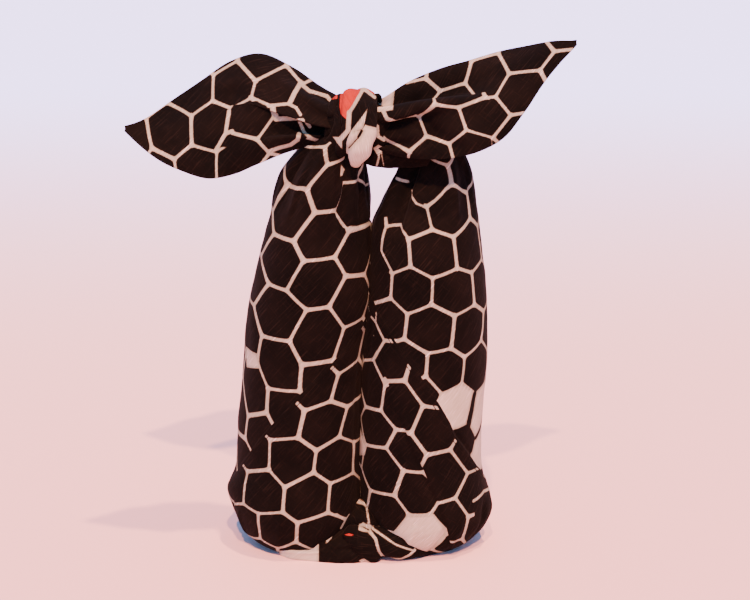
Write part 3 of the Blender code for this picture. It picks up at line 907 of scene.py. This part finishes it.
def earSurface(values):
    # A leaf ruled between two edges. Across it the depth is a shallow bowl, and each pleat adds
    # x * exp(-x * x) about its own line, which lifts one side over the other and fades outwards.
    table = columns(values["outline"], earColumns)
    knots = np.linspace(0, 1, len(values["outline"]))
    along = np.linspace(0, 1, earCloth["stations"])
    across = np.linspace(0, 1, earCloth["lines"])[None, :]
    lowerX, lowerZ, upperX, upperZ, depthY, cup, lean = (
        smoothCurve(knots, table[name], along)[:, None] for name in earColumns
    )
    place = across + 0 * along[:, None]
    depth = depthY + cup * (2 * across - 1) ** 2 + lean * (across - 0.5)
    foldLines = []
    fading = earCloth["pleatFade"]
    for rootPlace, endPlace, reach, spread, deep, overlap in values["pleats"]:
        gone = np.clip(along / reach, 0, 1)
        bent = gone ** earCloth["pleatBend"]
        middle = (rootPlace + (endPlace - rootPlace) * bent)[:, None]
        foldLines.append(middle)
        strength = (1 - fade((gone - (1 - fading)) / fading))[:, None]
        away = (across - middle) / spread
        swing = away * bell(away) / earCloth["swingPeak"]
        depth = depth + deep / 2 * strength * swing
        place = place - overlap * strength * swing
    for rootPlace, endPlace, reach, width, rise in values["gathers"]:
        gone = np.clip(along / reach, 0, 1)
        middle = rootPlace + (endPlace - rootPlace) * gone
        away = (across - middle[:, None]) / width
        depth = depth - rise * (1 - fade(gone))[:, None] * bell(away)
    x = lowerX + (upperX - lowerX) * place
    z = lowerZ + (upperZ - lowerZ) * place
    for startX, startZ, endX, endZ, width, deep in values["dents"]:
        gap, _ = lineGaps(x, z, ((startX, startZ), (endX, endZ)))
        depth = depth + deep * bell(gap / width)
    points = np.stack([x, depth, z], axis=-1)
    free = np.minimum(across, 1 - across)
    most, breadth, growth = earCloth["flutter"]
    flutter = most * np.exp(-free / breadth) * fade(along[:, None] * growth)
    (coarse, coarseSize), (small, smallSize) = earCloth["waves"]
    points[..., 1] += (coarse + flutter) * unevenness(points, coarseSize, values["seed"])
    points[..., 1] += small * unevenness(points, smallSize, values["seed"] + 1)
    # across the cloth from the lower edge, and along it as the leaf's own x
    cloth = np.stack([x, lowerZ + arcLengths(points, 1)], axis=-1)
    # the lobe under the first pleat, which holds a net of its own
    under = (foldLines[0] - across) * (upperZ - lowerZ)
    lobe = (values["lowerReach"] - along[:, None]) * earCloth["lobeLength"]
    pleat = np.minimum(under, lobe)
    # the nets are drawn on the leaf as it stands before it leans: broader low down and taller
    leaned = lean * (across - 0.5)
    narrower = 1 - earCloth["leanNarrows"] * leaned
    upright = np.stack([x * narrower, z + earCloth["leanLifts"] * leaned], axis=-1)
    return points, cloth, {"pleat": pleat, **netFields(values, upright)}


def makeEar(name, values):
    piece = clothMesh(name, *earSurface(values))
    wall = piece.modifiers.new("clothThickness", "SOLIDIFY")
    wall.thickness = earCloth["thickness"] * mm
    wall.offset = 0.0
    finishPiece(piece, printedCotton(name + "Cotton", len(values["nets"])))


strandCloth = {
    "rings": 130,
    "sides": 84,
    "steps": 400,  # along the line to measure its length
    "endRound": 3.5,  # mm over which an end is rounded off
    "leastEnd": 0.003,
    "square": 0.8,  # power of a section's sides, below 1 for fuller corners
    "waves": ((0.45, 13), (0.12, 5)),  # mm of the cloth's own unevenness, and its size
    "seed": 5,
    "unprinted": -50.0,  # mm, the depth in the print where there is none
}


def strandSurface(values):
    # A flattened tube along a smooth line, its broad side away from the heart of the bundle.
    # Ridges run along it, each a bell curve across the broad side, and its ends are rounded off.
    table = np.array(values["rows"], dtype=float)
    knots = np.arange(len(table), dtype=float)
    even = np.linspace(0, knots[-1], strandCloth["steps"])
    route = np.stack([smoothCurve(knots, column, even) for column in table.T[:3]], axis=-1)
    gone = arcLengths(route, 0)
    length = np.linspace(0, gone[-1], strandCloth["rings"])
    at = np.interp(length, gone, even)
    x, y, z, breadth, thickness = (smoothCurve(knots, column, at) for column in table.T)
    line = np.stack([x, y, z], axis=-1)
    ahead = np.gradient(line, axis=0)
    ahead /= np.linalg.norm(ahead, axis=1, keepdims=True)
    outward = line - np.array(values["heart"], dtype=float)
    outward -= np.sum(outward * ahead, axis=1, keepdims=True) * ahead
    outward /= np.linalg.norm(outward, axis=1, keepdims=True)
    broad = np.cross(ahead, outward)
    angle = np.linspace(0, 2 * np.pi, strandCloth["sides"], endpoint=False) - np.pi / 2
    fromEnd = np.clip(np.minimum(length, length[-1] - length) / strandCloth["endRound"], 0, 1)
    closing = np.sqrt(np.clip(1 - (1 - fromEnd) ** 2, strandCloth["leastEnd"], 1))
    wide, thick = (
        (np.sign(side) * np.abs(side) ** strandCloth["square"])[None, :, None]
        for side in (np.cos(angle), np.sin(angle))
    )
    broad, outward = broad[:, None], outward[:, None]
    section = (breadth * closing)[:, None, None] * wide * broad
    section = section + (thickness * closing)[:, None, None] * thick * outward
    normal = wide * broad / breadth[:, None, None] + thick * outward / thickness[:, None, None]
    normal /= np.linalg.norm(normal, axis=-1, keepdims=True)
    points = line[:, None] + section
    place = wide[..., 0] + 0 * length[:, None]
    ridges = np.zeros(points.shape[:2])
    for start, end, size, rise in values.get("ridges", ()):
        middle = start + (end - start) * (length / length[-1])[:, None]
        ridges += rise * bell((place - middle) / size)
    ridges *= closing[:, None]
    (coarse, coarseSize), (small, smallSize) = strandCloth["waves"]
    uneven = values.get("uneven", coarse) * unevenness(points, coarseSize, strandCloth["seed"])
    uneven += small * unevenness(points, smallSize, strandCloth["seed"] + 1)
    points = points + (ridges + uneven * closing[:, None])[..., None] * normal
    if values.get("onFloor"):
        points[..., 2] = np.maximum(points[..., 2], 0.0)
    around = arcLengths(np.concatenate([points, points[:, :1]], axis=1), 1)
    around -= around[:, -1:] / 2
    return points, np.stack([around, length[:, None] + 0 * around], axis=-1)


# the print on the strands, and painted shade in a slit, as patches and strokes seen from the front
# (x, z)
bandMarks = (
    ("cream", 0, (9.2, 273.4), (12.4, 275.8), (15.4, 274), (14.4, 270.6), (11.6, 269.6)),
    ("cream", 1.1, (12.6, 271), (12.8, 267.5), (11.4, 262)),
    ("cream", 0.4, (14.2, 271), (15.8, 262)),
    ("cream", 2, (11.8, 288), (12.1, 281.4), (16, 278.8)),
)
# painted shade: a dark blob and a thin dark line where the slit between the pale fold and the
# tongue lies in shadow
slitShadeMarks = (
    ("ink", 0, (1.8, 287.6), (3.4, 286.6), (0.4, 281.8), (-1, 282.6)),
    ("ink", 0.7, (0, 282.4), (-5.8, 275.6)),
)
knotMarks = bandMarks + (
    ("coral", 0, (-11.7, 300), (-11.2, 312), (2.5, 312), (-4.2, 297.5), (-6.8, 292.5),
     (-10.8, 295.6)),
    ("coral", 0, (-18, 302.4), (-16, 307), (-13.2, 309), (-13.2, 303.6)),
    ("coral", 0, (3.5, 309.2), (4, 313), (13, 313), (11, 305.5)),
    ("cream", 1.9, (3, 310), (-5.4, 297)),
    ("cream", 2.9, (-5.6, 297), (-6.2, 286.5)),
    ("cream", 2.7, (-6.2, 286.5), (-12.4, 279)),
    ("cream", 0, (-15.8, 281.4), (-10.2, 281.6), (-10, 274.6)),
    ("cream", 1.4, (3.6, 309.5), (10.4, 304.6)),
)
footMarks = (
    ("cream", 0, (-54, 20), (-27, 17), (-27, -3), (-54, -3)),
    ("cream", 0, (-16.9, 21.5), (-21.4, 16.5), (-22.4, 11.6), (-18.7, 14.1), (-17.2, 18.5)),
    ("coral", 0, (-10, 18.4), (-7, 19.6), (-3.5, 19.3), (-5, 18.3), (-9, 18)),
    ("cream", 0, (-0.2, 1.9), (3.1, 3.4), (9.4, -1.3), (2.2, -1.5)),
    ("cream", 1.8, (0.3, 22.8), (5.8, 20.9), (10.9, 16.5), (13, 8.6), (17, 2.2)),
    ("cream", 1.8, (17, 2.2), (27.6, 2.6), (33.4, 5.6), (36.6, 8.2)),
    ("cream", 1, (2.2, 23.8), (13, 19.5), (23.9, 13.5), (34.8, 8.6)),
    ("cream", 1.2, (-3, 34), (4, 32.6), (5.6, 28), (6.6, 23)),
    ("cream", 1.2, (4, 32.6), (4.8, 37)),
)

# Rows are the points of a strand's line, half its breadth and half its thickness there. Ridges
# are their places across the strand at both ends, from -1 to 1, their width and rise in mm.
# Where a strand has no marks or heart of its own, it has those of its bundle.
knotStrands = {
    "knotCore": {
        "rows": (
            (-20, -8, 289, 9, 9), (-11, -9, 286, 16, 15), (0, -9, 284.5, 18, 17),
            (11, -9, 286, 15, 15), (21, -8, 288, 9, 9),
        ),
        "heart": (0, 60, 285),
        "uneven": 0.9,
    },
    "coralFold": {
        "rows": (
            (-1, 8, 291, 6, 4), (-3, 4, 298, 7.2, 4.5), (-4.6, -5, 303, 7.4, 4.5),
            (-5.6, -15, 303, 7, 4.6), (-6.6, -21.5, 298.5, 6.2, 4.6), (-7.4, -25, 293, 4.5, 4),
            (-7, -26.5, 287, 3.4, 3.2),
        ),
        "ridges": ((-0.2, 0.1, 0.5, 1.2), (0.6, 0.5, 0.25, -0.8)),
    },
    "darkFold": {
        "rows": (
            (6, 6, 294, 7, 4), (4, 2, 300.5, 7.5, 4.5), (3.5, -8, 304, 7.5, 4.5),
            (2.5, -18, 302.5, 7.5, 4.5), (0.5, -24.5, 297.5, 7.2, 4.5), (-2.5, -28, 290, 6.4, 4.5),
            (-6, -28, 282, 5.5, 4.5), (-9.5, -25, 275, 5, 4.5), (-11, -20, 270, 4, 4),
        ),
        "ridges": ((0.1, 0.1, 0.4, 1),),
    },
    "paleFold": {
        "rows": (
            (8, -19, 302, 2.5, 3), (5.2, -27, 296.5, 2.2, 3.5), (1.6, -31, 290, 3, 4),
            (-1.2, -32.5, 285.5, 3.6, 4), (-3.2, -32, 281, 3.2, 4), (-5, -29, 276, 2.2, 3.5),
            (-6, -25, 271, 2, 3),
        ),
        "marks": (
            ("cream", 0, (-5, 285.6), (3.2, 290), (9, 284), (9, 268), (-12, 268), (-12, 284)),
            ("cream", 0, (-5, 285.4), (5.4, 298.8), (3.2, 288)),
        ) + slitShadeMarks,
    },
    "tongueFold": {
        "rows": (
            (7, 4, 295, 5.5, 4), (7, -2, 300.5, 5.5, 4.5), (7, -12, 302.5, 5, 4.5),
            (6.8, -20, 299.5, 5, 4.5), (6.4, -26, 293.5, 5.2, 4.5), (6, -29.5, 286.5, 5.6, 5),
            (3.4, -31.5, 280, 6.6, 5.5), (0.8, -31.2, 274, 7, 5.6), (-1, -29.5, 269.4, 5.2, 5),
            (-1.8, -26, 266.4, 3.6, 4), (-2, -20, 265.6, 3.4, 3.6), (-1, -12, 268, 4, 4),
        ),
        "marks": (
            ("coral", 0, (2, 308.6), (2, 316), (14, 316), (13, 305.2)),
            ("cream", 1.3, (2.2, 309.6), (10.4, 304.6)),
            ("cream", 0, (2.2, 290.6), (16, 286.4), (16, 250), (-16, 250), (-16, 276)),
        ) + slitShadeMarks,
    },
    "shadeFold": {
        "rows": (
            (-14, -6, 296, 5, 4), (-12, -16, 296, 5, 4), (-10.5, -21.5, 291, 4.5, 4),
            (-11.5, -23.5, 284, 5, 4.5), (-15, -21.5, 277.5, 5.5, 4.5), (-18.5, -16, 273, 5, 4.5),
        ),
    },
    # a small loop of cloth left unprinted so that it shows dark: partly painted shade, the black of
    # a shadowed hole in the knot
    "loopFold": {
        "rows": (
            (9.4, -4, 300, 1.5, 1.3), (10.6, -9, 304, 1.5, 1.3), (12, -11, 305.2, 1.5, 1.3),
            (13.2, -9, 303.6, 1.5, 1.3), (13.6, -4, 300, 1.5, 1.3),
        ),
        "marks": (),
    },
    "crestFold": {
        "rows": (
            (-9, 6, 296, 5, 4), (-12, 0, 300.5, 5, 4), (-13.5, -8, 300.5, 5, 4),
            (-15, -14, 296.5, 4.5, 4), (-15.5, -18, 291, 4, 4),
        ),
    },
    "underBand": {
        "rows": (
            (-3, -12, 274, 8, 7), (8, -13, 271.5, 10, 7), (20, -12, 270.5, 11, 7.5),
            (33, -10, 271, 11, 8.5), (46, -7, 268, 9, 9),
        ),
        "heart": (20, 60, 271),
        "ridges": ((0.3, 0.2, 0.3, 1.2), (-0.4, -0.3, 0.25, -1)),
        "marks": bandMarks,
    },
    "backFoldUpper": {
        "rows": (
            (10, -2, 301, 6, 4), (8, 6, 299, 8, 4.5), (4, 11, 291, 8.5, 5), (-1, 12.5, 282, 8, 5),
            (-5, 9.5, 273, 6.5, 5), (-6, 2, 267, 5, 4),
        ),
    },
    "backFoldLower": {
        "rows": (
            (-12, -2, 299, 5, 4), (-9, 5, 297, 7, 4.5), (-2, 9, 289, 7.5, 5),
            (6, 10.5, 281, 7.5, 5), (11, 7, 273, 6.5, 5), (12, 0, 268, 5, 4),
        ),
    },
}

footStrands = {
    "footFoldLeft": {
        "rows": (
            (-53, -20, 5.5, 9, 5), (-40, -25.5, 6.5, 12.5, 7.5), (-24, -28, 5.5, 12.5, 8),
            (-6, -29, 8, 14, 8.5), (10, -27, 8, 12, 8),
        ),
        "ridges": ((0.6, 0.1, 0.12, 1.6), (0.2, 0.45, 0.1, -1.4), (-0.2, 0.1, 0.12, 1.2)),
    },
    "footLobe": {
        "rows": ((-9, -29, 20, 5, 5), (-1, -34, 15, 8, 6), (7, -35, 8, 9, 6), (14, -33, 2, 8, 5)),
        "heart": (0, 0, 0),
    },
    "footFoldRight": {
        "rows": (
            (5, -30, 16, 6, 6), (16, -33, 13, 9, 6.5), (28, -32, 10, 10, 7), (42, -26, 7, 8, 6),
            (54, -19, 4, 6, 5),
        ),
    },
    "footFoldBack": {
        "rows": (
            (-46, 22, 3, 8, 7), (-24, 29, 6, 13, 8), (0, 31, 9, 15, 9), (24, 29, 6, 13, 8),
            (48, 22, 3, 8, 7),
        ),
        "marks": (),
    },
    "footWeb": {
        "rows": ((0, -30, 6, 12, 20), (0, -12, 7, 20, 27), (0, 12, 7, 20, 27), (0, 30, 6, 12, 20)),
        "heart": (0, 0, -60),
    },
}

knotBundle = {"heart": (0, -8, 285), "marks": knotMarks}
footBundle = {"heart": (0, 0, -20), "marks": footMarks, "onFloor": True}


def makeStrand(name, values, material, bundle):
    values = {**bundle, **values}
    points, cloth = strandSurface(values)
    marks = values["marks"]
    across, up = points[..., 0], points[..., 2]
    blank = np.full(across.shape, strandCloth["unprinted"])
    coral = [mark for mark in marks if mark[0] == "coral"]
    others = [mark for mark in marks if mark[0] != "coral"]
    fields = {
        "net0": printed(blank, across, up, others),
        "coral": printed(blank, across, up, coral),
    }
    piece = clothMesh(name, points, cloth, fields, tube=True)
    finishPiece(piece, material)


knotCotton = printedCotton("knotCotton", coral=True)
footCotton = printedCotton("footCotton", coral=True)
for name, values in knotStrands.items():
    makeStrand(name, values, knotCotton, knotBundle)
for name, values in footStrands.items():
    makeStrand(name, values, footCotton, footBundle)
print("knot tied and foot folded")
makeEar("leftEar", leftEar)
makeEar("rightEar", rightEar)
print("ears opened")


floorLook = {
    "reach": 14.0,  # m
    "front": -4.0,
    "near": (0.84, 0.50, 0.46, 1),
    # painted light: towards the far end the floor turns to a pale blue that stands for cooler,
    # brighter light there
    "far": (0.72, 0.88, 1.0, 1),
    "turns": (-0.3, 2.6),  # m behind the wrap, between which near turns to far
    # painted light: the far floor glows blue of its own, standing for window light, though the
    # floor is no lamp
    "noPaintedGlow": (0.0, 0.0, 0.0, 1),
    "paintedGlow": (0.14, 0.22, 1.0, 1),
    "paintedGlowTurns": (0.35, 2.8),
    # the emission strength is that of the painted glow
    "finish": {"Emission Strength": 2.2, "Roughness": 0.9, "Specular IOR Level": 0.1},
}


def makeFloor():
    reach, front = floorLook["reach"], floorLook["front"]
    corners = [(-reach, front, 0.0), (reach, front, 0.0), (reach, reach, 0.0), (-reach, reach, 0.0)]
    mesh = bpy.data.meshes.new("floor")
    mesh.from_pydata(corners, [], [(0, 1, 2, 3)])
    floor = addObject("floor", mesh)
    material, shader, wire = newMaterial("paleFloor")
    place = wire.node("ShaderNodeTexCoord", None, None, 3)
    deep = wire.node("ShaderNodeSeparateXYZ", None, {0: place}, 1)
    # painted light: the floor's colour turns to the pale blue of cooler light far off
    far = deep.step(*floorLook["turns"])
    far.mixColours(floorLook["near"], floorLook["far"]).feed(shader, "Base Color")
    # painted light: the far floor glows blue
    paintedGlow = deep.step(*floorLook["paintedGlowTurns"])
    paintedGlow.mixColours(floorLook["noPaintedGlow"], floorLook["paintedGlow"]).feed(shader, "Emission Color")
    finish(shader, floorLook["finish"])
    mesh.materials.append(material)


lights = (
    # name, direction to the light, its angular size in degrees, strength and colour
    ("keyLight", (0.09, -0.609, 0.788), 1.4, 5.6, (1.0, 0.42, 0.26)),
    ("frontLight", (-0.07, -0.555, 0.829), 1.4, 4.4, (1.0, 0.42, 0.26)),
    ("overheadLight", (0.165, -0.145, 0.976), 1.8, 4.7, (1.0, 0.44, 0.28)),
    ("windowLight", (-0.35, -0.90, 0.25), 40.0, 0.8, (0.28, 0.55, 1.0)),
)
room = {"colour": (0.24, 0.50, 1.0, 1), "strength": 1.5, "lampDistance": 1.6}


def makeLights():
    for name, direction, width, strength, colour in lights:
        data = bpy.data.lights.new(name, "SUN")
        data.angle = np.radians(width)
        data.energy = strength
        data.color = colour
        lamp = addObject(name, data)
        lamp.location = mathutils.Vector(direction).normalized() * room["lampDistance"]
        lamp.rotation_euler = (-lamp.location).to_track_quat("-Z", "Y").to_euler()
    world = bpy.data.worlds.new("paleRoom")
    world.use_nodes = True
    ground = world.node_tree.nodes["Background"]
    ground.inputs["Color"].default_value = room["colour"]
    ground.inputs["Strength"].default_value = room["strength"]
    bpy.context.scene.world = world


view = {
    "place": (0.01032551, -0.92728879, 0.41796155),
    "tilt": 75.0,  # degrees up from straight down
    "lens": 70.0,
    "sensor": 36.0,
    "farEnd": 100.0,
}


def makeCamera():
    data = bpy.data.cameras.new("camera")
    data.lens = view["lens"]
    data.sensor_width = view["sensor"]
    data.clip_end = view["farEnd"]
    camera = addObject("camera", data)
    camera.location = view["place"]
    camera.rotation_euler = (np.radians(view["tilt"]), 0.0, 0.0)
    bpy.context.scene.camera = camera


makeFloor()
makeLights()
makeCamera()
print("floor, light and camera set")
